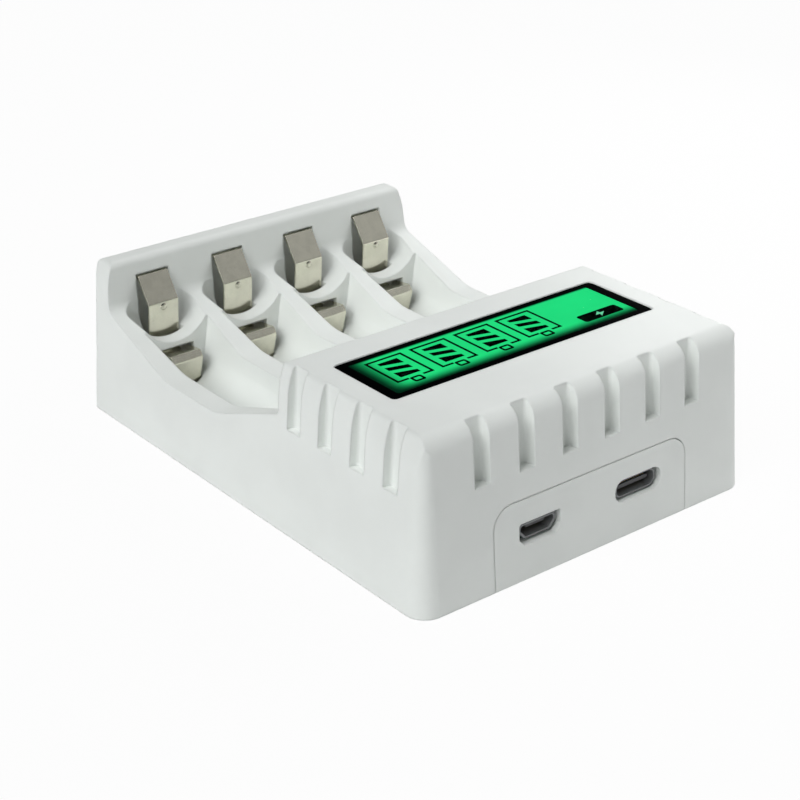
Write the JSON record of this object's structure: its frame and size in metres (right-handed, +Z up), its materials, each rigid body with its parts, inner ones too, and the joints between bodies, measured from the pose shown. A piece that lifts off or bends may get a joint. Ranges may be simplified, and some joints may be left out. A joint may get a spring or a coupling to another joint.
{
  "type": "battery charger",
  "caption": "Desktop charger with side-by-side bays for AA or AAA cells, sprung nickel contacts, a lit display in the head and two power inlets in the front panel.",
  "frame": {"origin": "middle of the underside", "axes": "+Z up, -Y towards the face with the power inlets, +Y towards the rear contact wall, +X to the right of that face"},
  "size_m": [0.071, 0.098, 0.0292],
  "materials": {
    "housing": "fine moulded satin",
    "cover": "fine moulded satin",
    "lens": "clear window with a printed black border",
    "display": "lit green display cell",
    "diffuser": "milky light panel",
    "board": "solder mask",
    "black_plastic": "moulded black",
    "can": "drawn can",
    "socket_steel": "stamped shell",
    "tongue": "moulded black",
    "nickel": "nickel-plated strip",
    "screw_steel": "zinc plated"
  },
  "bodies": {
    "charger": {"upper_housing": "housing", "base_cover": "cover", "display_lens": "lens", "lcd_panel": "display", "backlight_panel": "diffuser", "display_board": "board", "board_link": "black_plastic", "circuit_board": "board", "controller_chip": "black_plastic", "charge_transistors": "black_plastic", "filter_capacitor": "can", "usb_c_socket": "socket_steel", "usb_c_tongue": "tongue", "micro_usb_socket": "socket_steel", "micro_usb_tongue": "tongue", "negative_bus": "nickel", "positive_contact_1": "nickel", "positive_contact_2": "nickel", "positive_contact_3": "nickel", "positive_contact_4": "nickel", "cover_screws": "screw_steel", "board_screws": "screw_steel"},
    "aa_spring_1": {"aa_contact_1": "nickel"},
    "aa_spring_2": {"aa_contact_2": "nickel"},
    "aa_spring_3": {"aa_contact_3": "nickel"},
    "aa_spring_4": {"aa_contact_4": "nickel"},
    "aaa_spring_1": {"aaa_contact_1": "nickel"},
    "aaa_spring_2": {"aaa_contact_2": "nickel"},
    "aaa_spring_3": {"aaa_contact_3": "nickel"},
    "aaa_spring_4": {"aaa_contact_4": "nickel"}
  },
  "joints": [
    {"name": "aa_flex_1", "type": "hinge", "parent": "charger", "child": "aa_spring_1", "pos_m": [-0.02442, 0.03975, 0.0034], "axis": [-1, 0, 0], "range_deg": [0, 4.5], "stiffness_Nm_per_rad": 0.6},
    {"name": "aa_flex_2", "type": "hinge", "parent": "charger", "child": "aa_spring_2", "pos_m": [-0.00814, 0.03975, 0.0034], "axis": [-1, 0, 0], "range_deg": [0, 4.5], "stiffness_Nm_per_rad": 0.6},
    {"name": "aa_flex_3", "type": "hinge", "parent": "charger", "child": "aa_spring_3", "pos_m": [0.00814, 0.03975, 0.0034], "axis": [-1, 0, 0], "range_deg": [0, 4.5], "stiffness_Nm_per_rad": 0.6},
    {"name": "aa_flex_4", "type": "hinge", "parent": "charger", "child": "aa_spring_4", "pos_m": [0.02442, 0.03975, 0.0034], "axis": [-1, 0, 0], "range_deg": [0, 4.5], "stiffness_Nm_per_rad": 0.6},
    {"name": "aaa_flex_1", "type": "hinge", "parent": "charger", "child": "aaa_spring_1", "pos_m": [-0.02442, 0.0334, 0.0034], "axis": [-1, 0, 0], "range_deg": [0, 8], "stiffness_Nm_per_rad": 0.15},
    {"name": "aaa_flex_2", "type": "hinge", "parent": "charger", "child": "aaa_spring_2", "pos_m": [-0.00814, 0.0334, 0.0034], "axis": [-1, 0, 0], "range_deg": [0, 8], "stiffness_Nm_per_rad": 0.15},
    {"name": "aaa_flex_3", "type": "hinge", "parent": "charger", "child": "aaa_spring_3", "pos_m": [0.00814, 0.0334, 0.0034], "axis": [-1, 0, 0], "range_deg": [0, 8], "stiffness_Nm_per_rad": 0.15},
    {"name": "aaa_flex_4", "type": "hinge", "parent": "charger", "child": "aaa_spring_4", "pos_m": [0.02442, 0.0334, 0.0034], "axis": [-1, 0, 0], "range_deg": [0, 8], "stiffness_Nm_per_rad": 0.15}
  ]
}
